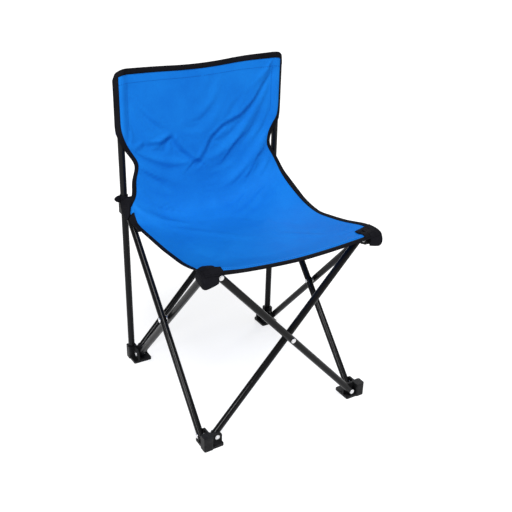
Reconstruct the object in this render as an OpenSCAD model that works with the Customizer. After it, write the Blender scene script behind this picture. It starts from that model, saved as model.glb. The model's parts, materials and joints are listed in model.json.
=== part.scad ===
// Quad-fold camping chair: eight crossed tubes, two back posts, four feet, two sliding
// hubs, two front corner brackets and a fabric seat and back. The chair faces -Y, +Z is up
// and the origin is on the floor under the middle of the frame.

/* [Frame] */
// Half of the square's side, measured to the middle of each pair of crossed tubes
frame_half = 200; // [190:1:210]
// Height of the upper pivots above the floor
seat_pivot_z = 416; // [400:1:430]
// Height of the foot pivots above the floor
foot_pivot_z = 20; // [19:1:24]
// How far each pivot is set in from its corner
pivot_inset = 20; // [19:1:22]

/* [Tubes] */
// Outside diameter of every steel tube
tube_d = 16; // [14:0.5:16]
// Wall thickness of every steel tube
tube_wall = 1.2; // [0.8:0.1:1.5]
// Length of tube past each end pivot
tube_overhang = 10; // [9:0.5:10]
// Height of the top of the bare back posts
post_top = 714; // [700:1:725]

/* [Plastic] */
// Side of the square foot plate
foot_plate = 47; // [44:1:48]
// Thickness of the foot plate
foot_plate_t = 6; // [4:0.5:6]
// Side of the upright corner column of feet, brackets and hubs
column = 22; // [21.5:0.1:22]
// Thickness of the pivot lugs
lug_t = 5; // [4:0.5:5]

/* [Rivets] */
// Diameter of the rivet shanks
rivet_d = 6; // [4:0.5:6]
// Diameter of the rivet heads
rivet_head_d = 11; // [8:0.5:11]

/* [Fabric] */
// Thickness of the stretched fabric panels
fabric_t = 3; // [2:0.5:3]
// Height of the lower edge of the fabric sleeves on the posts
sleeve_bottom = 572; // [570:1:600]
// Height of the fold between seat and back at its two ends
crease_z = 404; // [400:1:406]
// How far the middle of the seat hangs below its edges
seat_sag = 17; // [10:1:20]
// Height of the top edge of the back
back_top_z = 740; // [735:1:760]

/* [Hidden] */
$fn = 48;

// Clearances
running_gap = 0.05;
spacer_gap = 0.1;
seam_gap = 0.3;

// Frame layout
tube_r = tube_d / 2;
plane_gap = 1;
plane_offset = tube_r + plane_gap / 2;
pivot_reach = frame_half - pivot_inset;
inner_plane = frame_half - plane_offset;
outer_plane = frame_half + plane_offset;
pivot_rise = seat_pivot_z - foot_pivot_z;
tube_span = norm([2 * pivot_reach, pivot_rise]);
tube_lean = atan(2 * pivot_reach / pivot_rise);
cross_z = (foot_pivot_z + seat_pivot_z) / 2;
post_axis = frame_half + 6;

// Rivets
rivet_r = rivet_d / 2;
rivet_hole_r = rivet_r + running_gap;
rivet_head_t = 2;
rivet_tail_t = 1.4;
rivet_tail_d = rivet_head_d - 2;

// End plugs
plug_cap_t = 1.5;
plug_depth = 4;

// Feet, hubs and brackets
corner_round = 4;
foot_outer = frame_half + 15;
foot_wall_top = foot_pivot_z + 14;
foot_lug_r = 12;
hub_lug_r = 11;
hub_drop = 14;
hub_rise = 13;
rib_count = 3;
rib_pitch = 8;
rib_t = 1.5;
rib_top = foot_pivot_z - rivet_tail_d / 2 - 0.5;

// Post caps and sleeves
cap_height = 6;
sleeve_r = tube_r + 2.5;
sleeve_top = post_top + cap_height + 3;

// Seat outline
seat_front_half = frame_half + 8;
seat_rear_half = pivot_reach;
seat_front_y = -(frame_half + 6);
seat_rear_y = pivot_reach - 9;
seat_front_z = seat_pivot_z + 16;
corner_disc_r = 3;

// Seat corner caps
pocket_t = 1.2;
pocket_cut = 6;
pocket_bottom = seat_pivot_z - hub_drop + 3;

// Back outline, half width at each height
back_waist_half = frame_half - 29;
back_waist_z = 515;
back_corner = 26;
back_low_y = pivot_reach - 6;
back_high_y = frame_half - 1;

// ---- helpers ----

// Turns a part made for the rear right corner, or the rear side, to another one
module turned(quarter) rotate([0, 0, 90 * quarter]) children();

module rounded_square(side, r) {
    square([side - 2 * r, side], center = true);
    square([side, side - 2 * r], center = true);
    for (x = [-1, 1], y = [-1, 1])
        translate([x * (side / 2 - r), y * (side / 2 - r)]) circle(r);
}

// A cylinder along +Y that starts at the origin
module rod_y(r, length) rotate([-90, 0, 0]) cylinder(r = r, h = length);

// A rivet along +Y: tail, shank and a two-step domed head, its grip starting at the origin
module rivet(grip) {
    translate([0, -rivet_tail_t, 0]) rod_y(rivet_tail_d / 2, rivet_tail_t);
    rod_y(rivet_r, grip);
    translate([0, grip, 0]) rod_y(rivet_head_d / 2, rivet_head_t * 0.6);
    translate([0, grip, 0]) rod_y(rivet_head_d / 2 * 0.7, rivet_head_t);
}

// A rivet through a lug and a tube in the rear plane
module rear_plane_rivet(x, z, from_y, to_y)
    translate([x, from_y - running_gap, z]) rivet(to_y - from_y + 2 * running_gap);

// ---- tubes ----

module tube_shape() difference() {
    translate([0, 0, plug_cap_t - tube_overhang])
        cylinder(r = tube_r, h = tube_span + 2 * (tube_overhang - plug_cap_t));
    translate([0, 0, -tube_overhang])
        cylinder(r = tube_r - tube_wall, h = tube_span + 2 * tube_overhang);
    for (z = [0, tube_span / 2, tube_span])
        translate([0, -tube_d, z]) rod_y(rivet_hole_r, 2 * tube_d);
}

module plug_shape() {
    cylinder(r = tube_r, h = plug_cap_t);
    translate([0, 0, plug_cap_t])
        cylinder(r = tube_r - tube_wall - running_gap, h = plug_depth);
}

// Places a shape on the inner rear tube's line, which leans to the left
module on_inner_line()
    translate([pivot_reach, inner_plane, foot_pivot_z]) rotate([0, -tube_lean, 0]) children();

// Places a shape on the outer rear tube's line, which leans to the right
module on_outer_line()
    translate([-pivot_reach, outer_plane, foot_pivot_z]) rotate([0, tube_lean, 0]) children();

module plug_pair() {
    translate([0, 0, -tube_overhang]) plug_shape();
    translate([0, 0, tube_span + tube_overhang]) mirror([0, 0, 1]) plug_shape();
}

module inner_tube(quarter) color("#1b1b1d") turned(quarter) on_inner_line() tube_shape();
module outer_tube(quarter) color("#1b1b1d") turned(quarter) on_outer_line() tube_shape();
module inner_plugs(quarter) color("#26262a") turned(quarter) on_inner_line() plug_pair();
module outer_plugs(quarter) color("#26262a") turned(quarter) on_outer_line() plug_pair();

module cross_rivet(quarter) color("#c8c8cc") turned(quarter)
    rear_plane_rivet(0, cross_z, inner_plane - tube_r, outer_plane + tube_r);

module spacer(quarter) color("#8a8a8e") turned(quarter)
    translate([0, frame_half - plane_gap / 2 + spacer_gap, cross_z]) difference() {
        rod_y(tube_r - 1, plane_gap - 2 * spacer_gap);
        translate([0, -1, 0]) rod_y(rivet_hole_r, plane_gap + 2);
    }

// ---- feet ----

// Lug of a foot in the plane at one side of the column, running along X
module foot_lug(from_y) translate([0, from_y, 0]) {
    translate([pivot_reach, 0, foot_pivot_z]) rod_y(foot_lug_r, lug_t);
    translate([pivot_reach - foot_lug_r, 0, 0]) cube([2 * foot_lug_r, lug_t, foot_pivot_z]);
    translate([pivot_reach, 0, 0])
        cube([post_axis - pivot_reach, lug_t, foot_pivot_z + foot_lug_r]);
}

module foot_ribs() for (i = [0 : rib_count - 1])
    translate([frame_half - lug_t - 1.5, pivot_reach - rib_pitch + i * rib_pitch, 0])
        cube([2, rib_t, rib_top]);

// Foot for the rear right corner: the rear plane's tube is the inner one
module foot_shape(has_post) difference() {
    union() {
        translate([foot_outer - foot_plate / 2, foot_outer - foot_plate / 2, 0])
            linear_extrude(foot_plate_t) rounded_square(foot_plate, corner_round);
        translate([post_axis, post_axis, 0])
            linear_extrude(foot_wall_top) rounded_square(column, corner_round);
        foot_lug(frame_half);
        mirror([1, -1, 0]) foot_lug(frame_half - lug_t);
        foot_ribs();
    }
    if (has_post) translate([post_axis, post_axis, foot_plate_t])
        cylinder(r = tube_r + running_gap, h = foot_wall_top);
    translate([pivot_reach, 0, foot_pivot_z]) rod_y(rivet_hole_r, 2 * frame_half);
    mirror([1, -1, 0]) translate([pivot_reach, 0, foot_pivot_z])
        rod_y(rivet_hole_r, 2 * frame_half);
}

module foot(quarter, has_post) color("#2a2a2c") turned(quarter) foot_shape(has_post);

module foot_rivets(quarter) color("#c8c8cc") turned(quarter) {
    rear_plane_rivet(pivot_reach, foot_pivot_z, inner_plane - tube_r, frame_half + lug_t);
    mirror([1, -1, 0])
        rear_plane_rivet(pivot_reach, foot_pivot_z, frame_half - lug_t, outer_plane + tube_r);
}

// ---- hubs and brackets ----

// Lug of a hub in the plane at one side of the column, with a web that tapers down to it
module hub_lug(from_y) translate([0, from_y, seat_pivot_z]) {
    translate([pivot_reach, 0, 0]) rod_y(hub_lug_r, lug_t);
    translate([0, lug_t, 0]) rotate([90, 0, 0]) linear_extrude(lug_t) polygon([
        [pivot_reach, hub_lug_r], [post_axis, hub_rise],
        [post_axis, -hub_drop], [pivot_reach + hub_lug_r / 2, -hub_drop],
        [pivot_reach - hub_lug_r * 0.7, -hub_lug_r * 0.7]
    ]);
}

// Hub for the rear right corner: the rear plane's tube is the outer one
module hub_shape(has_post) difference() {
    union() {
        translate([post_axis, post_axis, seat_pivot_z - hub_drop])
            linear_extrude(hub_drop + hub_rise) rounded_square(column, corner_round);
        hub_lug(frame_half - lug_t);
        mirror([1, -1, 0]) hub_lug(frame_half);
    }
    if (has_post) translate([post_axis, post_axis, 0])
        cylinder(r = tube_r + running_gap, h = post_top);
    translate([pivot_reach, 0, seat_pivot_z]) rod_y(rivet_hole_r, 2 * frame_half);
    mirror([1, -1, 0]) translate([pivot_reach, 0, seat_pivot_z])
        rod_y(rivet_hole_r, 2 * frame_half);
}

module hub(quarter, has_post) color("#242426") turned(quarter) hub_shape(has_post);

module hub_rivets(quarter) color("#c8c8cc") turned(quarter) {
    rear_plane_rivet(pivot_reach, seat_pivot_z, frame_half - lug_t, outer_plane + tube_r);
    mirror([1, -1, 0])
        rear_plane_rivet(pivot_reach, seat_pivot_z, inner_plane - tube_r, frame_half + lug_t);
}

// ---- posts ----

module post(side) color("#1b1b1d") translate([side * post_axis, post_axis, foot_plate_t])
    difference() {
        cylinder(r = tube_r, h = post_top - foot_plate_t);
        translate([0, 0, -1]) cylinder(r = tube_r - tube_wall, h = post_top);
    }

module post_cap(side) color("#26262a") translate([side * post_axis, post_axis, post_top]) {
    translate([0, 0, -2 * plug_depth])
        cylinder(r = tube_r - tube_wall - running_gap, h = 2 * plug_depth);
    cylinder(r = tube_r, h = cap_height / 2);
    translate([0, 0, cap_height / 2]) cylinder(r1 = tube_r, r2 = tube_r / 2, h = cap_height / 2);
}

// ---- fabric ----

module sleeve(side) color("#1a6ed9") translate([side * post_axis, post_axis, sleeve_bottom])
    difference() {
        cylinder(r = sleeve_r, h = sleeve_top - sleeve_bottom);
        translate([0, 0, -1])
            cylinder(r = tube_r + running_gap, h = sleeve_top - sleeve_bottom - 1);
    }

// The upper back is upright, and its outer top corner is cut off above the sleeve
module back_upper_shape()
    translate([0, back_high_y + fabric_t, 0]) rotate([90, 0, 0]) linear_extrude(fabric_t)
        polygon([
            [seam_gap, sleeve_bottom], [post_axis, sleeve_bottom], [post_axis, sleeve_top],
            [post_axis - back_corner, back_top_z], [seam_gap, back_top_z]
        ]);

// The lower back leans forward as it goes down to the seat
module back_lower_shape() {
    drop = sleeve_bottom - crease_z;
    lean = atan((back_high_y - back_low_y) / drop);
    translate([0, back_high_y + fabric_t, sleeve_bottom]) rotate([90 - lean, 0, 0])
        linear_extrude(fabric_t) polygon([
            [seam_gap, 0], [frame_half - 6, 0],
            [back_waist_half, back_waist_z - sleeve_bottom],
            [seat_rear_half - 4, 30 - drop], [seat_rear_half, 2 - drop], [seam_gap, 2 - drop]
        ]);
}

module back_half(side) color("#1a6ed9") scale([side, 1, 1]) difference() {
    union() {
        back_upper_shape();
        back_lower_shape();
    }
    translate([post_axis, post_axis, 0])
        cylinder(r = sleeve_r + running_gap, h = 2 * sleeve_top);
}

// One half of the seat, from its outer edge down to the middle seam
module seat_half(side) color("#1a6ed9") scale([side, 1, 1]) hull() {
    for (p = [
        [seat_front_half - corner_disc_r, seat_front_y + corner_disc_r, seat_front_z],
        [seat_rear_half - corner_disc_r, seat_rear_y - corner_disc_r, crease_z],
        [corner_disc_r + seam_gap, seat_rear_y - corner_disc_r, crease_z - seat_sag],
        [corner_disc_r + seam_gap, seat_front_y + corner_disc_r, seat_front_z - seat_sag]
    ]) translate(p) cylinder(r = corner_disc_r, h = fabric_t, $fn = 32);
}

// Black fabric cap of a seat corner, slipped over the two outer faces of a front bracket
module pocket(quarter) color("#141416") turned(quarter) difference() {
    translate([post_axis, post_axis, pocket_bottom])
        linear_extrude(seat_pivot_z + hub_rise + running_gap + pocket_t - pocket_bottom)
            rounded_square(column + 2 * pocket_t, corner_round + pocket_t);
    translate([post_axis, post_axis, 0])
        linear_extrude(seat_pivot_z + hub_rise + running_gap)
            rounded_square(column + 2 * running_gap, corner_round + running_gap);
    cube([post_axis - pocket_cut, 2 * frame_half, 2 * seat_pivot_z]);
    cube([2 * frame_half, post_axis - pocket_cut, 2 * seat_pivot_z]);
}

// ---- the parts ----

foot(2, false);  // front_left_foot
foot(3, false);  // front_right_foot
foot(1, true);  // rear_left_foot
foot(0, true);  // rear_right_foot
foot_rivets(2);  // front_left_foot_rivets
foot_rivets(3);  // front_right_foot_rivets
foot_rivets(1);  // rear_left_foot_rivets
foot_rivets(0);  // rear_right_foot_rivets
inner_tube(2);  // front_inner_tube
inner_tube(3);  // right_inner_tube
inner_tube(0);  // rear_inner_tube
inner_tube(1);  // left_inner_tube
outer_tube(2);  // front_outer_tube
outer_tube(3);  // right_outer_tube
outer_tube(0);  // rear_outer_tube
outer_tube(1);  // left_outer_tube
inner_plugs(2);  // front_inner_plugs
inner_plugs(3);  // right_inner_plugs
inner_plugs(0);  // rear_inner_plugs
inner_plugs(1);  // left_inner_plugs
outer_plugs(2);  // front_outer_plugs
outer_plugs(3);  // right_outer_plugs
outer_plugs(0);  // rear_outer_plugs
outer_plugs(1);  // left_outer_plugs
cross_rivet(2);  // front_cross_rivet
cross_rivet(3);  // right_cross_rivet
cross_rivet(0);  // rear_cross_rivet
cross_rivet(1);  // left_cross_rivet
spacer(2);  // front_spacer
spacer(3);  // right_spacer
spacer(0);  // rear_spacer
spacer(1);  // left_spacer
post(-1);  // left_post
post(1);  // right_post
post_cap(-1);  // left_post_cap
post_cap(1);  // right_post_cap
hub(2, false);  // front_left_bracket
hub(3, false);  // front_right_bracket
hub(1, true);  // left_hub
hub(0, true);  // right_hub
hub_rivets(2);  // front_left_bracket_rivets
hub_rivets(3);  // front_right_bracket_rivets
hub_rivets(1);  // left_hub_rivets
hub_rivets(0);  // right_hub_rivets
sleeve(-1);  // left_sleeve
sleeve(1);  // right_sleeve
back_half(-1);  // back_left
back_half(1);  // back_right
seat_half(-1);  // seat_left
seat_half(1);  // seat_right
pocket(2);  // front_left_pocket
pocket(3);  // front_right_pocket
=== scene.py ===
"""Folding camping chair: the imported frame, its materials, and the fabric seat and back."""
import json
import math

import bpy
import numpy as np
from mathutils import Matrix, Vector


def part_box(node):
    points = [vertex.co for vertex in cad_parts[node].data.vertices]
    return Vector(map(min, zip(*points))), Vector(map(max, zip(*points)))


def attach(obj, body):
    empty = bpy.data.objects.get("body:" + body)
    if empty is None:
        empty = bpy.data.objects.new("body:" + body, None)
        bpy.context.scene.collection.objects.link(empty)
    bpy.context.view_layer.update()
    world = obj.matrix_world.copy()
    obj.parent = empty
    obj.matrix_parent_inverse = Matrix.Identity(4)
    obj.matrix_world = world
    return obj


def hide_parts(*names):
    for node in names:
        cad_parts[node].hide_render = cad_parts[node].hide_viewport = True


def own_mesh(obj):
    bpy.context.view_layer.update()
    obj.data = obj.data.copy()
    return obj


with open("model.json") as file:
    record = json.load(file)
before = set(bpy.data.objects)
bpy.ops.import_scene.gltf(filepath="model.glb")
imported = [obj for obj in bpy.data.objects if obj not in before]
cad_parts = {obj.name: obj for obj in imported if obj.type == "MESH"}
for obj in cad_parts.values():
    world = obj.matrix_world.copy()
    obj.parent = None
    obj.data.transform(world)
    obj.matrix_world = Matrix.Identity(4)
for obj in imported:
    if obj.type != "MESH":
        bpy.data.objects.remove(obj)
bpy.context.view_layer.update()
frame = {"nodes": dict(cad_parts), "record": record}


# ---------------------------------------------------------------- measures, in metres
def middle(node):
    """Middle of a CAD node's box."""
    low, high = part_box(node)
    return (low + high) / 2


POST_X = middle("right_post").x
POST_Y = middle("right_post").y
POST_R = (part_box("right_post")[1].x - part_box("right_post")[0].x) / 2
SLEEVE_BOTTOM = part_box("right_sleeve")[0].z
HUB_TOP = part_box("right_hub")[1].z
BRACKET_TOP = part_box("front_right_bracket")[1].z
CORNER_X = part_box("front_right_bracket")[1].x

# The back's outer edge, its sleeves' stitch lines, its taut panel, and where the sleeves start
BACK_OUTER = POST_X + 0.0125
STITCH_X = POST_X - 0.017
PANEL_Y = POST_Y - 0.007
SLEEVE_START = SLEEVE_BOTTOM + 0.016

# The fabric's own outline, as points (x, y, z) along its edges and down its middle
SEAT_LEFT = [(-0.2165, -0.2195, 0.4275), (-0.2165, -0.2100, 0.4330), (-0.2165, -0.190, 0.4300),
             (-0.2160, -0.168, 0.4215), (-0.2150, -0.140, 0.4135), (-0.2150, -0.110, 0.4080),
             (-0.2130, -0.018, 0.3995), (-0.2125, 0.100, 0.3985), (-0.2135, 0.140, 0.3985),
             (-0.2140, 0.158, 0.4005), (-0.2130, 0.166, 0.4060)]
SEAT_RIGHT = [(0.2165, -0.2195, 0.4275), (0.2155, -0.2100, 0.4335), (0.2150, -0.168, 0.4325),
              (0.2145, -0.133, 0.4235), (0.2135, -0.105, 0.4165), (0.2130, -0.067, 0.4095),
              (0.2125, 0.000, 0.3990), (0.2125, 0.035, 0.4030), (0.2125, 0.068, 0.4105),
              (0.2125, 0.100, 0.4240), (0.2125, 0.117, 0.4310)]
SEAT_MIDDLE = [(0, -0.2195, 0.4120), (0, -0.2115, 0.4165), (0, -0.200, 0.4170),
               (0, -0.100, 0.405), (0, 0.0, 0.396), (0, 0.100, 0.390), (0, 0.150, 0.3885),
               (0, 0.176, 0.391)]
BACK_LEFT = [(-0.2130, 0.166, 0.4060), (-0.2105, 0.170, 0.4130), (-0.2070, 0.175, 0.4240),
             (-0.2000, 0.180, 0.4350), (-0.1940, 0.184, 0.4470), (-0.1910, 0.187, 0.4620),
             (-0.191, 0.189, 0.480), (-0.183, 0.193, 0.500), (-0.178, 0.194, 0.512),
             (-0.180, 0.1955, 0.524), (-0.193, 0.196, 0.543), (-0.205, 0.1955, 0.562),
             (-0.2135, 0.198, 0.580), (-BACK_OUTER, POST_Y, 0.600), (-BACK_OUTER, POST_Y, 0.716)]
BACK_RIGHT = [(0.2125, 0.117, 0.4310), (0.2125, 0.145, 0.4430), (0.2120, 0.166, 0.4525),
              (0.2100, 0.182, 0.4680), (0.2030, 0.189, 0.4860), (0.1930, 0.193, 0.5020),
              (0.185, 0.195, 0.516), (0.184, 0.196, 0.530), (0.191, 0.196, 0.553),
              (0.206, 0.1955, 0.571), (0.2155, 0.200, 0.588), (BACK_OUTER, POST_Y, 0.606),
              (BACK_OUTER, POST_Y, 0.722)]
BACK_MIDDLE = [(0, 0.176, 0.391), (0, 0.184, 0.420), (0, 0.194, 0.470), (0, 0.203, 0.530),
               (0, 0.208, 0.600), (0, 0.206, 0.670), (0, 0.2015, 0.732)]
# The back's top edge, as points (x, z), how far it is eased, and the radius of its corners
TOP_LINE = [(-0.220, 0.737), (-0.120, 0.735), (-0.040, 0.732), (0.030, 0.734), (0.100, 0.741),
            (0.220, 0.745)]
TOP_EASE = 0.03
TOP_CORNER = 0.024

# How the rows sag between their edges: a higher power is flatter in the middle
SEAT_SAG = 1.6
SEAT_SAG_GAIN = 0.4
BACK_SAG = 2.2

# The sleeves round the posts: how far their layers stand off, and where they start to form
SLEEVE_FRONT = 0.0054
SLEEVE_REAR = 0.0208
SLEEVE_GAP = 0.0008
SLEEVE_CURVE = 2.5
SLEEVE_LEAD = 0.008
SLEEVE_FADE = 0.024

# How far the ends of the left tubes hold the fabric up near its rear and its front corner
REAR_TENT = (0.0, -0.005, 0.014)
FRONT_TENT = (0.0, 0.0, 0.010)
FRONT_TENT_Y = -0.182
TENT_LENGTH = 0.024
TENT_COLUMN = 2
# Shares of the half width: where a tent rises from the edge, and where it fades away inward
TENT_EDGE = 0.04
TENT_INNER = 0.86
TENT_FADE = 0.30

# Thickness of the fabric, of the webbing and of the two bindings
FABRIC = 0.0007
WEBBING = 0.0012
SIDE_BINDING_HEIGHT = 0.0011
END_BINDING_HEIGHT = 0.0013

# Folds in the back: points (x, z) along the ridge, its height, and its soft and steep widths
BACK_FOLDS = [
    ([(-0.185, 0.556), (-0.150, 0.571), (-0.115, 0.567), (-0.080, 0.582), (-0.055, 0.545),
      (-0.020, 0.512)], 0.0085, 0.034, 0.0075),
    ([(-0.024, 0.508), (0.000, 0.532), (0.016, 0.562), (0.048, 0.588), (0.098, 0.607),
      (0.135, 0.638), (0.172, 0.700)], 0.0090, 0.030, 0.0080),
    ([(-0.185, 0.712), (-0.110, 0.690), (-0.035, 0.668), (0.030, 0.664), (0.100, 0.690),
      (0.180, 0.722)], 0.0050, 0.022, 0.016),
    ([(0.010, 0.585), (0.060, 0.632), (0.120, 0.668), (0.186, 0.716)], 0.0045, 0.018, 0.012),
    ([(0.178, 0.560), (0.130, 0.567), (0.100, 0.557), (0.075, 0.537), (0.050, 0.495),
      (0.045, 0.440)], 0.0052, 0.008, 0.013),
    ([(0.182, 0.520), (0.145, 0.503), (0.120, 0.470), (0.100, 0.430)], 0.0052, 0.008, 0.014),
    ([(0.188, 0.480), (0.150, 0.478), (0.120, 0.455)], 0.0040, 0.006, 0.009),
    ([(-0.172, 0.515), (-0.135, 0.492), (-0.110, 0.475)], 0.0042, 0.010, 0.006),
    ([(-0.180, 0.470), (-0.120, 0.452), (-0.060, 0.430)], 0.0030, 0.012, 0.009),
    ([(0.010, 0.490), (0.015, 0.450), (0.025, 0.405)], 0.0030, 0.012, 0.012),
    ([(-0.170, 0.640), (-0.100, 0.630), (-0.040, 0.600)], 0.0028, 0.018, 0.012),
]
# Folds in the seat: points (x, y) along the ridge, its height, and its soft and steep widths
SEAT_FOLDS = [
    ([(-0.160, 0.150), (-0.100, 0.080), (-0.015, -0.010)], 0.0020, 0.012, 0.016),
    ([(0.170, 0.130), (0.110, 0.060), (0.060, 0.020)], 0.0020, 0.010, 0.014),
    ([(-0.190, -0.180), (-0.120, -0.100), (-0.060, -0.040)], 0.0022, 0.014, 0.014),
    ([(0.190, -0.180), (0.120, -0.110), (0.070, -0.050)], 0.0022, 0.014, 0.014),
]
# The valley past a fold's steep side: its depth and its width, as shares of the fold's own
VALLEY = 0.5
VALLEY_REACH = 4
# How soon the folds die out towards the side edges
FOLD_MARGIN = 8

# The grid that the cloth simulation runs on
COLUMNS = 64
EDGE_DENSITY = 0.70
SEAT_ROWS = 44
BACK_ROWS = 50
CREASE_PASSES = 4

# The simulation: its length, the furthest that it may move the sheet, and what it holds still
CLOTH_FRAMES = 24
CLOTH_REACH = 0.010
HELD_FRONT_ROWS = 2
HELD_PAST_STITCHES = 0.004
HELD_BELOW_SLEEVES = 0.02
SEAT_SLACK = 0.3

# The trims, in rows and columns of the finer grid that is made from the simulated one
SIDE_BINDING_COLUMNS = 6
FRONT_BINDING_ROWS = 3
TOP_BINDING_ROWS = 4
HEM_ROW = -9
SLEEVE_ROW = -12
SEAM_END = -8
# The left binding of the back narrows to this share over its lowest rows
NARROW_ROWS = 18
NARROWEST = 0.35

# A stitch: its length, its pitch, its height over the cloth and its thread's radius
STITCH_LENGTH = 0.0032
STITCH_PITCH = 0.0048
STITCH_LIFT = 0.0006
STITCH_RADIUS = 0.00045

# The black square on the seat's front corners: its corner points (x, y), and its height
FLAP = [(0.2165, -0.2185), (0.2150, -0.177), (0.176, -0.177), (0.174, -0.2190)]
FLAP_LIFT = 0.0022
FLAP_CELLS = 12

# The padded cap on a front bracket
CAP_REACH = 0.187
CAP_RADIUS = 0.007
CAP_LOW = BRACKET_TOP - 0.0295
CAP_HIGH = BRACKET_TOP + 0.0014
CAP_FACE = CORNER_X + 0.0014
CAP_PUFF = 0.0035
CAP_TAPER = 0.0012
CAP_ARCH = 0.006
CAP_ROUNDING = 0.002
CAP_THICKNESS = 0.0018

# The strap round a post: its radius, its sewn ends' length, half its height and its thickness
STRAP_RADIUS = POST_R + 0.0012
STRAP_TAIL = 0.014
STRAP_HALF = 0.0082
STRAP_THICKNESS = 0.0013
# The web from the strap to the seat's rear corner, on the right side, as rows of points
WEB = [
    [(0.1895, 0.1865, 0.4480), (0.2060, 0.1925, 0.4440), (0.2185, 0.2000, 0.4330)],
    [(0.1950, 0.1800, 0.4375), (0.2100, 0.1790, 0.4375), (0.2200, 0.1900, 0.4190)],
    [(0.2030, 0.1720, 0.4300), (0.2130, 0.1660, 0.4290), (0.2205, 0.1780, 0.4080)],
    [(0.2110, 0.1610, 0.4150), (0.2140, 0.1580, 0.4120), (0.2175, 0.1620, 0.4010)],
]
# The gusset below the seat's rear corner, on the right side
GUSSET = [(0.2135, 0.1600, 0.3990), (0.2130, 0.0950, 0.3975), (0.2040, 0.1350, 0.3790)]
GUSSET_CELLS = 8

# The camera: its place in degrees round the target, its distance, and its lens in millimetres
AZIMUTH, ELEVATION, ROLL = -32.11, 25.96, 1.797
TARGET = (0.0334, 0.0, 0.3214)
DISTANCE = 1.7586
LENS = 52.73
# The studio
FLOOR_SIDE = 30.0
FLOOR_GLOW = 0.72
WORLD_STRENGTH = 0.34
SUN_TOWARD = (-0.20, -0.75, 1.25)
SUN_STRENGTH = 3.0
SUN_ANGLE = 30


# ---------------------------------------------------------------- small tools
def smooth_step(t):
    """Eases a value from 0 to 1, flat at both ends."""
    t = np.clip(t, 0.0, 1.0)
    return t * t * (3 - 2 * t)


def make_object(name, vertices, faces, material):
    """A smooth mesh object with one material."""
    mesh = bpy.data.meshes.new(name)
    mesh.from_pydata([tuple(v) for v in vertices], [], faces)
    mesh.update()
    mesh.polygons.foreach_set("use_smooth", [True] * len(mesh.polygons))
    mesh.materials.append(material)
    piece = bpy.data.objects.new(name, mesh)
    bpy.context.scene.collection.objects.link(piece)
    return piece


def grid_faces(rows, columns):
    """Quads between the points of a grid."""
    return [
        (r * columns + c, r * columns + c + 1, (r + 1) * columns + c + 1, (r + 1) * columns + c)
        for r in range(rows - 1) for c in range(columns - 1)
    ]


def set_uv(piece, coordinates):
    """Lays the mesh out flat, in metres, so that a weave has its real size."""
    layer = piece.data.uv_layers.new(name="flat")
    index = np.zeros(len(piece.data.loops), np.int32)
    piece.data.loops.foreach_get("vertex_index", index)
    layer.data.foreach_set("uv", np.asarray(coordinates, np.float32)[index].ravel())


def distance_to_line(points, line):
    """Distance from each point to a polyline in the plane, its sign, and the share along it."""
    best = np.full(len(points), np.inf)
    sign = np.ones(len(points))
    share = np.zeros(len(points))
    line = np.array(line)
    lengths = np.linalg.norm(np.diff(line, axis=0), axis=1)
    travelled = np.concatenate([[0], np.cumsum(lengths)])
    for i, (a, b) in enumerate(zip(line[:-1], line[1:])):
        along = np.clip(((points - a) @ (b - a)) / lengths[i] ** 2, 0, 1)
        offset = points - (a + along[:, None] * (b - a))
        near = np.linalg.norm(offset, axis=1)
        side = np.sign((b - a)[0] * offset[:, 1] - (b - a)[1] * offset[:, 0])
        closer = near < best
        best[closer] = near[closer]
        sign[closer] = side[closer]
        share[closer] = (travelled[i] + along[closer] * lengths[i]) / travelled[-1]
    return best, sign, share


def fold_height(points, folds):
    """Height of folds that each have a soft side, a steep side, and a shallow valley past it."""
    height = np.zeros(len(points))
    for line, depth, soft_width, steep_width in folds:
        near, sign, share = distance_to_line(points, line)
        soft = np.exp(-(near / soft_width) ** 2)
        steep = (1 + VALLEY) * np.exp(-(near / steep_width) ** 2)
        steep -= VALLEY * np.exp(-(near / steep_width / VALLEY_REACH) ** 2)
        taper = np.sin(np.pi * np.clip(share * 0.9 + 0.05, 0, 1)) ** 0.5
        height += depth * taper * np.where(sign > 0, soft, steep)
    return height


def ride_fabric(piece, kind, side):
    """Puts a piece of the seat or back on its folding panel, with its own copy of its mesh."""
    if kind == "back":
        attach(piece, f"back_{side}_panel")
        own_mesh(piece)
    else:
        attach(piece, f"seat_{side}_panel")
        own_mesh(piece)


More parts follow.
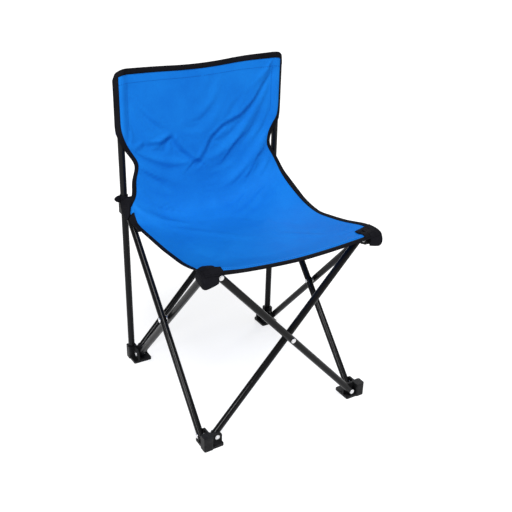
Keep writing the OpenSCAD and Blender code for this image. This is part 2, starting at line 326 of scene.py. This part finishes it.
# ---------------------------------------------------------------- materials
class Shader:
    """A material with a Principled shader, and short calls for the nodes it uses."""

    def __init__(self, name, **values):
        self.material = bpy.data.materials.new(name)
        self.material.use_nodes = True
        self.nodes = self.material.node_tree.nodes
        self.links = self.material.node_tree.links
        self.shader = self.nodes["Principled BSDF"]
        for socket, value in values.items():
            self.shader.inputs[socket.replace("_", " ")].default_value = value

    def add(self, kind, **inputs):
        node = self.nodes.new(kind)
        for socket, value in inputs.items():
            target = node.inputs[socket.replace("_", " ")]
            if hasattr(value, "is_output"):
                self.links.new(value, target)
            else:
                target.default_value = value
        return node

    def noise(self, vector, scale, detail=3.0, roughness=0.55):
        return self.add("ShaderNodeTexNoise", Vector=vector, Scale=scale, Detail=detail,
                        Roughness=roughness).outputs["Fac"]

    def range(self, value, low, high, to_low, to_high):
        node = self.nodes.new("ShaderNodeMapRange")
        self.links.new(value, node.inputs["Value"])
        for socket, number in zip(("From Min", "From Max", "To Min", "To Max"),
                                  (low, high, to_low, to_high)):
            node.inputs[socket].default_value = number
        return node.outputs["Result"]

    def math(self, operation, a, b):
        node = self.nodes.new("ShaderNodeMath")
        node.operation = operation
        for socket, value in zip(node.inputs, (a, b)):
            if hasattr(value, "is_output"):
                self.links.new(value, socket)
            else:
                socket.default_value = value
        return node.outputs[0]

    def mix(self, factor, a, b):
        node = self.nodes.new("ShaderNodeMix")
        node.data_type = "RGBA"
        colours = [s for s in node.inputs if s.type == "RGBA"]
        self.links.new(factor, node.inputs[0])
        for socket, value in zip(colours, (a, b)):
            if hasattr(value, "is_output"):
                self.links.new(value, socket)
            else:
                socket.default_value = (*value, 1)
        return [s for s in node.outputs if s.type == "RGBA"][0]

    def bands(self, vector, scale, direction):
        node = self.add("ShaderNodeTexWave", Vector=vector, Scale=scale, Distortion=0.3)
        node.wave_type = "BANDS"
        node.bands_direction = direction
        return node.outputs["Fac"]

    def bump(self, height, strength, distance, under=None):
        node = self.add("ShaderNodeBump", Height=height, Strength=strength, Distance=distance)
        if under is not None:
            self.links.new(under, node.inputs["Normal"])
        return node.outputs["Normal"]

    def set(self, socket, value):
        self.links.new(value, self.shader.inputs[socket])

    def place(self, kind="Object"):
        return self.nodes.new("ShaderNodeTexCoord").outputs[kind]


def weave(shader, thread):
    """Bump height of a plain weave whose threads are so many metres apart."""
    flat = shader.place("UV")
    scale = math.pi / 10 / (2 * thread)
    across = shader.bands(flat, scale, "X")
    along = shader.bands(flat, scale, "Y")
    return shader.math("MAXIMUM", across, along)


def fabric_material(name, dark, light, thread, roughness):
    """Woven cloth between two colours, with clouds, slubs, and crinkles under the weave, and painted
    shade in the gaps between its threads.
    """
    shader = Shader(name, Sheen_Weight=0.05, Sheen_Roughness=0.4, Specular_IOR_Level=0.02)
    shader.shader.inputs["Sheen Tint"].default_value = (*light, 1)
    place = shader.place()
    threads = weave(shader, thread)
    cloud = shader.noise(place, 14.0, 4.0)
    slub = shader.noise(place, 240.0, 2.0)
    tone = shader.math("ADD", shader.range(cloud, 0.3, 0.7, 0.0, 0.7),
                       shader.range(slub, 0.3, 0.7, 0.0, 0.3))
    base = shader.mix(tone, dark, light)
    # Painted shade and highlight: the weave's height darkens the gaps between threads and lightens
    # the thread tops
    shade = shader.mix(threads, tuple(0.72 * c for c in dark), light)
    shader.set("Base Color", shader.mix(shader.range(slub, 0, 1, 0.1, 0.3), base, shade))
    shader.set("Roughness", shader.range(cloud, 0.25, 0.75, roughness - 0.07, roughness + 0.08))
    crinkle = shader.noise(place, 70.0, 5.0, 0.6)
    soft = shader.bump(crinkle, 0.35, 0.0016)
    shader.set("Normal", shader.bump(threads, 0.35, thread / 3, soft))
    return shader.material


def paint_material():
    """Glossy black powder coat with a faint orange peel and a few scuffs."""
    shader = Shader("tube_paint", Coat_Weight=0.22, Coat_Roughness=0.08, Specular_IOR_Level=0.04)
    place = shader.place()
    scuff = shader.range(shader.noise(place, 90.0, 8.0, 0.7), 0.62, 0.72, 0.0, 1.0)
    shader.set("Base Color", shader.mix(scuff, (0.003, 0.003, 0.0035), (0.012, 0.012, 0.013)))
    smear = shader.noise(place, 30.0, 4.0)
    shader.set("Roughness", shader.range(smear, 0.3, 0.7, 0.22, 0.40))
    shader.set("Normal", shader.bump(shader.noise(place, 700.0, 2.0), 0.12, 0.0003))
    return shader.material


def plastic_material():
    """Satin black moulded plastic with a fine spark texture."""
    shader = Shader("black_plastic", Specular_IOR_Level=0.10)
    place = shader.place()
    dust = shader.noise(place, 60.0, 6.0, 0.65)
    shader.set("Base Color", shader.mix(shader.range(dust, 0.45, 0.75, 0, 1),
                                        (0.006, 0.006, 0.0065), (0.018, 0.018, 0.019)))
    shader.set("Roughness", shader.range(dust, 0.3, 0.7, 0.36, 0.55))
    shader.set("Normal", shader.bump(shader.noise(place, 1800.0, 2.0), 0.18, 0.0003))
    return shader.material


def rivet_material():
    """Bright zinc-plated steel, lightly brushed."""
    shader = Shader("rivet_steel", Metallic=1.0)
    place = shader.place()
    blotch = shader.noise(place, 400.0, 5.0)
    shader.set("Base Color", shader.mix(blotch, (0.55, 0.55, 0.56), (0.86, 0.86, 0.87)))
    shader.set("Roughness", shader.range(blotch, 0.3, 0.7, 0.22, 0.42))
    shader.set("Normal", shader.bump(shader.noise(place, 1500.0, 3.0), 0.2, 0.0002))
    return shader.material


PAINT = paint_material()
PLASTIC = plastic_material()
RIVET = rivet_material()
BLUE = fabric_material("blue_fabric", (0.005, 0.127, 0.51), (0.008, 0.174, 0.60), 0.0006, 0.60)
BLACK = fabric_material("black_fabric", (0.003, 0.003, 0.004), (0.010, 0.010, 0.013), 0.0009, 0.62)
THREAD = fabric_material("thread", (0.003, 0.050, 0.26), (0.006, 0.080, 0.38), 0.0003, 0.50)

SLOT_MATERIALS = {"tube_paint": PAINT, "black_plastic": PLASTIC, "rivet_steel": RIVET,
                  "blue_fabric": BLUE, "black_fabric": BLACK}


def finish_frame():
    """Gives every carried-over CAD node its procedural material."""
    slots = {s["node"]: s["material_slot"] for s in frame["record"]["subparts"]}
    for name, node in frame["nodes"].items():
        node.data.materials.clear()
        node.data.materials.append(SLOT_MATERIALS[slots[name]])


# ---------------------------------------------------------------- the sheet
def along(points, shares):
    """Points at even shares of a line's length, with its corners eased."""
    points = np.array(points)
    travelled = np.concatenate([[0], np.cumsum(np.linalg.norm(np.diff(points, axis=0), axis=1))])
    at = np.asarray(shares) * travelled[-1]
    line = np.stack([np.interp(at, travelled, points[:, k]) for k in range(3)], 1)
    for _ in range(3):
        line[1:-1] = 0.5 * line[1:-1] + 0.25 * (line[:-2] + line[2:])
    return line


def top_edge(x):
    """Height of the back's top edge, with its slight wave and its round corners."""
    across, heights = zip(*TOP_LINE)
    shifts = np.linspace(-TOP_EASE, TOP_EASE, 7)
    line = np.mean([np.interp(x + s, across, heights) for s in shifts], 0)
    past = np.clip((np.abs(x) - (BACK_OUTER - TOP_CORNER)) / TOP_CORNER, 0, 1)
    return line - TOP_CORNER * (1 - np.sqrt(1 - past ** 2))


def sleeve_share(x):
    """0 at the sleeve's stitch line, 1 at its outer edge."""
    return np.clip((np.abs(x) - STITCH_X) / (BACK_OUTER - STITCH_X), 0, 1)


def spanned(u, left, right, centre, sharpness):
    """A row of the sheet between its two edges, sagging to the middle line."""
    x = left[0] + (right[0] - left[0]) * (u + 1) / 2
    pull = np.abs(u) ** sharpness
    edge = np.where(u[:, None] > 0, right, left)
    row = centre + (edge - centre) * pull[:, None]
    row[:, 0] = x
    return row


def raise_tents(sheet, u):
    """Lifts the sheet where the ends of the left tubes push it up."""
    steps = np.linalg.norm(np.diff(sheet[:, TENT_COLUMN], axis=0), axis=1)
    travelled = np.concatenate([[0], np.cumsum(steps)])
    front = np.abs(sheet[:SEAT_ROWS, TENT_COLUMN, 1] - FRONT_TENT_Y).argmin()
    across = smooth_step((u + 1) / TENT_EDGE) * (1 - smooth_step((u + TENT_INNER) / TENT_FADE))
    for top, rise in ((SEAT_ROWS, REAR_TENT), (front, FRONT_TENT)):
        near = np.exp(-((travelled - travelled[top]) / TENT_LENGTH) ** 2)
        sheet += near[:, None, None] * across[None, :, None] * np.array(rise)


def sheet_start():
    """The sheet as sewn, from the seat's front edge to the back's top edge."""
    u = np.linspace(-1, 1, COLUMNS + 1) * math.pi / 2 * EDGE_DENSITY
    u = np.sin(u) / math.sin(math.pi / 2 * EDGE_DENSITY)
    face = smooth_step((1 - np.abs(u)) * FOLD_MARGIN)
    shares = np.linspace(0, 1, SEAT_ROWS + 1)
    edges = [along(line, shares) for line in (SEAT_LEFT, SEAT_RIGHT, SEAT_MIDDLE)]
    rows = []
    for share, left, right, centre in list(zip(shares, *edges))[:-1]:
        row = spanned(u, left, right, centre, SEAT_SAG + SEAT_SAG_GAIN * min(1, 4 * share))
        row[:, 2] += fold_height(row[:, :2], SEAT_FOLDS) * face
        rows.append(row)
    shares = np.linspace(0, 1, BACK_ROWS + 1)
    edges = [along(line, shares) for line in (BACK_LEFT, BACK_RIGHT, BACK_MIDDLE)]
    last = spanned(u, *[edge[-1] for edge in edges], BACK_SAG)
    rise = top_edge(last[:, 0]) - last[:, 2]
    for share, left, right, centre in zip(shares, *edges):
        row = spanned(u, left, right, centre, BACK_SAG)
        row[:, 2] += rise * share ** 3
        out = sleeve_share(row[:, 0])
        taut = centre[1] + (PANEL_Y - centre[1]) * np.abs(u) ** BACK_SAG
        wrapped = taut + (POST_Y - PANEL_Y) * out ** SLEEVE_CURVE
        wrapped -= SLEEVE_FRONT * np.sin(np.pi * out)
        held = smooth_step((row[:, 2] - SLEEVE_BOTTOM + SLEEVE_LEAD) / SLEEVE_FADE)
        row[:, 1] += (wrapped - row[:, 1]) * held
        row[:, 1] -= fold_height(row[:, [0, 2]], BACK_FOLDS) * face
        rows.append(row)
    sheet = np.array(rows)
    raise_tents(sheet, u)
    for _ in range(CREASE_PASSES):
        band = slice(SEAT_ROWS - 2, SEAT_ROWS + 3)
        above = sheet[SEAT_ROWS - 3:SEAT_ROWS + 2]
        below = sheet[SEAT_ROWS - 1:SEAT_ROWS + 4]
        sheet[band] = 0.5 * sheet[band] + 0.25 * (above + below)
    return sheet


def drape(sheet):
    """Runs the cloth simulation, held along the binding and the sleeves."""
    rows, columns = sheet.shape[:2]
    cloth = make_object("drape", sheet.reshape(-1, 3), grid_faces(rows, columns), BLUE)
    held = cloth.vertex_groups.new(name="held")
    slack = cloth.vertex_groups.new(name="slack")
    for r in range(rows):
        for c in range(columns):
            x, _, z = sheet[r, c]
            edge = r <= HELD_FRONT_ROWS or r == rows - 1 or c == 0 or c == columns - 1
            in_sleeve = (abs(x) > STITCH_X - HELD_PAST_STITCHES
                         and z > SLEEVE_BOTTOM - HELD_BELOW_SLEEVES)
            if edge or in_sleeve:
                held.add([r * columns + c], 1.0, "REPLACE")
            slack.add([r * columns + c], 1.0 if r > SEAT_ROWS else SEAT_SLACK, "REPLACE")
    modifier = cloth.modifiers.new("cloth", "CLOTH")
    settings = modifier.settings
    settings.quality = 6
    settings.mass = 0.15
    settings.tension_stiffness = 18
    settings.compression_stiffness = 12
    settings.shear_stiffness = 6
    settings.bending_stiffness = 0.35
    settings.vertex_group_mass = "held"
    settings.vertex_group_shrink = "slack"
    settings.shrink_min = 0.0
    settings.shrink_max = -0.012
    modifier.point_cache.frame_start = 1
    modifier.point_cache.frame_end = CLOTH_FRAMES
    for number in range(1, CLOTH_FRAMES + 1):
        bpy.context.scene.frame_set(number)
    shown = cloth.evaluated_get(bpy.context.evaluated_depsgraph_get())
    moved = np.zeros(len(shown.data.vertices) * 3)
    shown.data.vertices.foreach_get("co", moved)
    moved = moved.reshape(sheet.shape)
    bpy.data.objects.remove(cloth)
    bpy.context.scene.frame_set(1)
    step = moved - sheet
    far = np.linalg.norm(step, axis=2, keepdims=True)
    return sheet + step * np.minimum(1.0, CLOTH_REACH / np.maximum(far, 1e-9))


def finer(grid):
    """Doubles a grid's points each way, along smooth curves."""
    for _ in range(2):
        before = np.concatenate([2 * grid[:1] - grid[1:2], grid[:-2]])
        after = np.concatenate([grid[2:], 2 * grid[-1:] - grid[-2:-1]])
        between = (9 * (grid[:-1] + grid[1:]) - before - after) / 16
        out = np.empty((2 * len(grid) - 1,) + grid.shape[1:])
        out[0::2], out[1::2] = grid, between
        grid = out.swapaxes(0, 1)
    return grid


def normals_of(grid):
    """Unit normals at the points of a grid."""
    along = np.gradient(grid, axis=0)
    across = np.gradient(grid, axis=1)
    normal = np.cross(across, along)
    return normal / np.linalg.norm(normal, axis=2, keepdims=True)


def flat_layout(grid):
    """Lengths along the rows and columns, which are the flat cut's own coordinates."""
    across = np.linalg.norm(np.diff(grid, axis=1), axis=2).mean(0)
    along = np.linalg.norm(np.diff(grid, axis=0), axis=2).mean(1)
    u = np.concatenate([[0], np.cumsum(across)])
    v = np.concatenate([[0], np.cumsum(along)])
    return np.stack(np.meshgrid(u, v), axis=2)


def panel(name, grid, normal, material):
    """A sheet from part of the grid, as two layers a fabric's thickness apart, closed at its rim."""
    rows, columns = grid.shape[:2]
    count = rows * columns
    normal = normal.reshape(-1, 3)
    flat = grid.reshape(-1, 3)
    points = np.concatenate([flat + normal * FABRIC / 2, flat - normal * FABRIC / 2])
    front = np.array(grid_faces(rows, columns))
    index = np.arange(count).reshape(rows, columns)
    rim = np.concatenate([index[0], index[1:, -1], index[-1, -2::-1], index[-2:0:-1, 0]])
    ahead = np.roll(rim, -1)
    edge = np.stack([ahead, rim, rim + count, ahead + count], 1)
    faces = np.concatenate([front, front[:, ::-1] + count, edge])
    piece = make_object(name, points, faces.tolist(), material)
    set_uv(piece, np.tile(flat_layout(grid).reshape(-1, 2), (2, 1)))
    out = np.cross(points[edge[:, 1]] - points[edge[:, 0]], points[edge[:, 2]] - points[edge[:, 1]])
    out /= np.linalg.norm(out, axis=1, keepdims=True) + 1e-12
    loops = np.concatenate([normal[front].reshape(-1, 3), -normal[front[:, ::-1]].reshape(-1, 3),
                            np.repeat(out, 4, axis=0)])
    piece.data.normals_split_custom_set(loops.tolist())
    return piece


def tape(name, strip, normal, height):
    """Binding folded over an edge: strip[i, 0] is on the edge and strip[i, -1] is furthest in."""
    count, depth = strip.shape[:2]
    inward = strip[:, 1] - strip[:, 0]
    inward = inward / np.linalg.norm(inward, axis=1, keepdims=True)
    puff = height * (1 + 0.25 * np.sin(np.linspace(0, np.pi, depth)))[None, :, None]
    front = strip + normal * puff
    back = strip - normal * puff
    nose = strip[:, :1] - inward[:, None] * height * 1.3
    ring = np.concatenate([front[:, ::-1], nose, back], axis=1)
    size = ring.shape[1]
    faces = [
        (i * size + j, i * size + (j + 1) % size, (i + 1) * size + (j + 1) % size, (i + 1) * size + j)
        for i in range(count - 1) for j in range(size)
    ]
    faces += [tuple(range(size))[::-1], tuple((count - 1) * size + j for j in range(size))]
    piece = make_object(name, ring.reshape(-1, 3), faces, BLACK)
    travelled, across = [
        np.concatenate([[0], np.cumsum(np.linalg.norm(np.diff(line, axis=0), axis=1))])
        for line in (strip[:, 0], ring[0])
    ]
    set_uv(piece, np.stack(np.meshgrid(across, travelled), axis=2).reshape(-1, 2))
    return piece


def stitches(name, line, normal):
    """A row of short raised stitches along a line of points."""
    steps = np.linalg.norm(np.diff(line, axis=0), axis=1)
    travelled = np.concatenate([[0], np.cumsum(steps)])
    vertices, faces = [], []
    for start in np.arange(STITCH_PITCH / 2, travelled[-1] - STITCH_LENGTH, STITCH_PITCH):
        ring_start = len(vertices)
        for share in (0.0, 0.2, 0.8, 1.0):
            at = start + share * STITCH_LENGTH
            point = np.array([np.interp(at, travelled, line[:, k]) for k in range(3)])
            ahead = np.array([np.interp(at + 1e-3, travelled, line[:, k]) for k in range(3)])
            ahead -= point
            up = np.array([np.interp(at, travelled, normal[:, k]) for k in range(3)])
            side = np.cross(up, ahead)
            side = side / max(np.linalg.norm(side), 1e-9)
            thick = STITCH_RADIUS * (0.35 if share in (0.0, 1.0) else 1.0)
            rise = STITCH_LIFT * (0.0 if share in (0.0, 1.0) else 1.0)
            for angle in np.arange(0, 2 * np.pi, np.pi / 3):
                vertices.append(point + up * (rise + thick * math.sin(angle))
                                + side * thick * math.cos(angle))
        for k in range(3):
            for j in range(6):
                a, b = ring_start + 6 * k + j, ring_start + 6 * k + (j + 1) % 6
                faces.append((a, b, b + 6, a + 6))
        faces.append(tuple(ring_start + j for j in range(6))[::-1])
        faces.append(tuple(ring_start + 18 + j for j in range(6)))
    piece = make_object(name, vertices, faces, THREAD)
    set_uv(piece, [(v[0], v[2]) for v in vertices])
    return piece


def narrowed(strip):
    """The strip with its lowest rows drawn in towards its outer edge."""
    share = NARROWEST + (1 - NARROWEST) * smooth_step(np.linspace(0.0, 1.0, NARROW_ROWS))
    strip = strip.copy()
    low, edge = strip[:NARROW_ROWS], strip[:NARROW_ROWS, :1].copy()
    low[:] = edge + (low - edge) * share[:, None, None]
    return strip


def build_fabric():
    """The seat and back, each in two halves that meet on the middle line."""
    sheet = finer(drape(sheet_start()))
    normal = normals_of(sheet)
    crease = 2 * SEAT_ROWS
    centre = COLUMNS
    parts = {
        ("seat", "left"): (slice(0, crease + 1), slice(0, centre + 1)),
        ("seat", "right"): (slice(0, crease + 1), slice(centre, None)),
        ("back", "left"): (slice(crease, None), slice(0, centre + 1)),
        ("back", "right"): (slice(crease, None), slice(centre, None)),
    }
    gussets = {side: rear_gussets(side) for side in ("left", "right")}
    for (kind, side), (rows, columns) in parts.items():
        grid, up = sheet[rows, columns], normal[rows, columns]
        cloth = panel(f"{kind}_cloth_{side}", grid, up, BLUE)
        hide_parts(f"{kind}_{side}")
        count = SIDE_BINDING_COLUMNS
        inward = slice(0, count) if side == "left" else slice(-1, -count - 1, -1)
        strip = grid[:, inward]
        if (kind, side) == ("back", "left"):
            strip = narrowed(strip)
        trims = [tape(f"{kind}_side_binding_{side}", strip, up[:, inward], SIDE_BINDING_HEIGHT)]
        if kind == "seat":
            ends = [part[:FRONT_BINDING_ROWS].swapaxes(0, 1) for part in (grid, up)]
            trims.append(tape(f"seat_front_binding_{side}", *ends, END_BINDING_HEIGHT))
            seam = grid[FRONT_BINDING_ROWS], up[FRONT_BINDING_ROWS]
            trims.append(stitches(f"seat_stitches_{side}", *seam))
            trims += [seat_flap(side, grid), gussets[side][1]]
        else:
            ends = [part[:-TOP_BINDING_ROWS - 1:-1].swapaxes(0, 1) for part in (grid, up)]
            trims.append(tape(f"back_top_binding_{side}", *ends, END_BINDING_HEIGHT))
            trims.append(stitches(f"back_hem_stitches_{side}", grid[HEM_ROW], up[HEM_ROW]))
            trims += [*sleeve(side, grid, up), gussets[side][0]]
        for trim in trims:
            ride_fabric(trim, kind, side)
        ride_fabric(cloth, kind, side)


def sleeve(side, grid, up):
    """The rear layer of the sleeve behind the post, and the stitch line that closes it."""
    inner = np.abs(np.abs(grid[SLEEVE_ROW, :, 0]) - STITCH_X).argmin()
    columns = slice(0, inner + 1) if side == "left" else slice(inner, None)
    first = int(np.argmax(grid[:, 0 if side == "left" else -1, 2] > SLEEVE_START))
    front = grid[first:-TOP_BINDING_ROWS - 1, columns]
    rear = front.copy()
    rear[..., 1] += SLEEVE_REAR * np.sin(np.pi * sleeve_share(front[..., 0])) + SLEEVE_GAP
    layer = panel(f"sleeve_rear_{side}", rear, normals_of(rear), BLUE)
    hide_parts(f"{side}_sleeve")
    closing = slice(first, SEAM_END), inner
    seam = stitches(f"sleeve_stitches_{side}", grid[closing], up[closing])
    return [layer, seam]


def on_sheet(grid, x, y):
    """Height of the sheet above a place on the floor, from its four nearest points."""
    near = np.hypot(grid[..., 0] - x, grid[..., 1] - y).ravel()
    best = near.argpartition(4)[:4]
    weight = 1 / (near[best] + 1e-5)
    return float((grid[..., 2].ravel()[best] * weight).sum() / weight.sum())


def seat_flap(side, grid):
    """Black reinforcement stitched on the seat over a front corner."""
    sign = -1 if side == "left" else 1
    corner, along_side, tip, along_front = np.array(FLAP)
    side_count = FLAP_CELLS + 1
    points = []
    for i in range(side_count):
        for j in range(side_count):
            s, t = i / FLAP_CELLS, j / FLAP_CELLS
            x, y = ((1 - s) * (1 - t) * corner + s * (1 - t) * along_side + s * t * tip
                    + (1 - s) * t * along_front)
            points.append((sign * x, y, on_sheet(grid, sign * x, y) + FLAP_LIFT))
    return thin(f"seat_flap_{side}", points, side_count, side_count, WEBBING)


def thin(name, points, rows, columns, thickness):
    """A small black cloth piece from a grid of points, thickened evenly."""
    piece = make_object(name, points, grid_faces(rows, columns), BLACK)
    set_uv(piece, [(p[0] + p[1], p[2]) for p in points])
    layers = piece.modifiers.new("thickness", "SOLIDIFY")
    layers.thickness = thickness
    layers.offset = 0
    return piece


def cap_ring(face):
    """A corner cap's outline (x, y) seen from above, with its walls this far out."""
    start = face - CAP_RADIUS
    bend = [(start + CAP_RADIUS * math.sin(a), start + CAP_RADIUS * math.cos(a))
            for a in np.linspace(0, math.pi / 2, 7)]
    leg = [(CAP_REACH + (start - CAP_REACH) * t, face - CAP_TAPER * (1 - t))
           for t in np.linspace(0, 1, 8)[:-1]]
    return leg + bend + [(y, x) for x, y in leg[::-1]]


def corner_cap(side):
    """Padded fabric cap slipped over a front bracket: two soft walls that close over its top."""
    sign = -1 if side == "left" else 1
    points, rows = [], 0
    for h in np.linspace(0, 1, 13):
        ring = cap_ring(CAP_FACE + CAP_PUFF * math.sin(math.pi * h ** 0.8) ** 0.7)
        for k, (x, y) in enumerate(ring):
            side_share = abs(2 * k / (len(ring) - 1) - 1)
            bottom = CAP_LOW + CAP_ARCH * side_share ** 2
            points.append((sign * x, -y, bottom + (CAP_HIGH - CAP_ROUNDING - bottom) * h))
        rows += 1
    for h in np.linspace(0.04, 0.96, 8):
        for x, y in cap_ring(CAP_FACE):
            points.append((sign * (x + (CAP_REACH - x) * h), -(y + (CAP_REACH - y) * h),
                           CAP_HIGH - CAP_ROUNDING * max(0, 1 - h * 8) ** 2))
        rows += 1
    piece = thin(f"corner_cap_{side}", points, rows, len(points) // rows, CAP_THICKNESS)
    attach(piece, f"front_{side}_corner")
    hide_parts(f"front_{side}_pocket")


def hub_tab(side):
    """Strap that loops round a post above its hub, with its two ends sewn together outside."""
    sign = -1 if side == "left" else 1
    radius, tail, height = STRAP_RADIUS, STRAP_TAIL, STRAP_HALF
    turn = np.linspace(0.12, 2 * math.pi - 0.12, 40)
    out = np.linspace(1, 0, 7)
    path = [(radius + tail * t, 0.0009) for t in out]
    path += [(radius * math.cos(a), radius * math.sin(a)) for a in turn]
    path += [(radius + tail * t, -0.0009) for t in out[::-1]]
    points = []
    for k in np.linspace(-1, 1, 9):
        for x, y in path:
            past = max(0.0, x - radius) / tail
            z = HUB_TOP + height + 0.001 + height * k * (1 - 0.75 * past ** 3)
            points.append((sign * (POST_X + x), POST_Y + y, z))
    piece = thin(f"hub_tab_{side}", points, 9, len(path), STRAP_THICKNESS)
    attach(piece, f"{side}_slider")


def rear_gussets(side):
    """Black webbing from the post's strap over the hub, and the triangle under the seat's edge."""
    sign = -1 if side == "left" else 1
    web = finer(finer(np.array(WEB) * (sign, 1, 1)))
    tie = thin(f"hub_tie_{side}", web.reshape(-1, 3), *web.shape[:2], WEBBING)
    a, b, c = np.array(GUSSET) * (sign, 1, 1)
    share = np.linspace(0, 1, GUSSET_CELLS + 1)
    points = [(1 - s) * ((1 - t) * a + t * c) + s * ((1 - t) * b + t * c)
              for s in share for t in share]
    under = thin(f"under_gusset_{side}", points, len(share), len(share), WEBBING)
    return tie, under


# ---------------------------------------------------------------- camera, floor and light
def build_camera():
    """The camera stands in front of the chair's left, above it, and is turned a little."""
    azimuth, elevation, roll = [math.radians(angle) for angle in (AZIMUTH, ELEVATION, ROLL)]
    toward = Vector((math.sin(azimuth) * math.cos(elevation),
                     -math.cos(azimuth) * math.cos(elevation), math.sin(elevation)))
    data = bpy.data.cameras.new("camera")
    data.lens = LENS
    data.sensor_width = 36
    camera = bpy.data.objects.new("camera", data)
    bpy.context.scene.collection.objects.link(camera)
    camera.location = Vector(TARGET) + toward * DISTANCE
    turn = toward.to_track_quat("Z", "Y").to_matrix()
    right = turn.col[0] * math.cos(roll) + turn.col[1] * math.sin(roll)
    up = turn.col[1] * math.cos(roll) - turn.col[0] * math.sin(roll)
    turn.col[0], turn.col[1] = right, up
    camera.rotation_euler = turn.to_euler()
    bpy.context.scene.camera = camera


def area_light(name, place, aim, size, power):
    """A square white lamp at a place, turned towards its aim."""
    data = bpy.data.lights.new(name, "AREA")
    data.energy, data.size = power, size
    light = bpy.data.objects.new(name, data)
    bpy.context.scene.collection.objects.link(light)
    light.location = place
    light.rotation_euler = (Vector(place) - Vector(aim)).to_track_quat("Z", "Y").to_euler()


def build_studio():
    """A white floor that glows, so that the shadows on it stay faint, with its lights."""
    shader = Shader("studio_floor", Roughness=0.9, Specular_IOR_Level=0.05,
                    Emission_Strength=FLOOR_GLOW)
    shader.shader.inputs["Emission Color"].default_value = (1, 1, 1, 1)
    haze = shader.noise(shader.place(), 3.0)
    shader.set("Base Color", shader.mix(haze, (0.39, 0.39, 0.39), (0.41, 0.41, 0.41)))
    far = FLOOR_SIDE
    floor = make_object("studio_floor", [(-far, -far, 0), (far, -far, 0), (far, far, 0),
                                         (-far, far, 0)], [(0, 1, 2, 3)], shader.material)
    world = bpy.data.worlds.new("studio")
    world.use_nodes = True
    world.node_tree.nodes["Background"].inputs["Color"].default_value = (1, 1, 1, 1)
    world.node_tree.nodes["Background"].inputs["Strength"].default_value = WORLD_STRENGTH
    bpy.context.scene.world = world
    data = bpy.data.lights.new("sun", "SUN")
    data.energy, data.angle = SUN_STRENGTH, math.radians(SUN_ANGLE)
    sun = bpy.data.objects.new("sun", data)
    bpy.context.scene.collection.objects.link(sun)
    sun.rotation_euler = Vector(SUN_TOWARD).to_track_quat("Z", "Y").to_euler()
    area_light("strip", (-1.9, -0.9, 1.0), (0, 0, 0.4), 0.5, 16)
    area_light("rim", (1.4, 1.6, 1.6), (0, 0, 0.5), 0.8, 14)
    bpy.context.scene.view_settings.view_transform = "Standard"


# ---------------------------------------------------------------- the scene
build_camera()
build_studio()
finish_frame()
build_fabric()
for side in ("left", "right"):
    corner_cap(side)
    hub_tab(side)
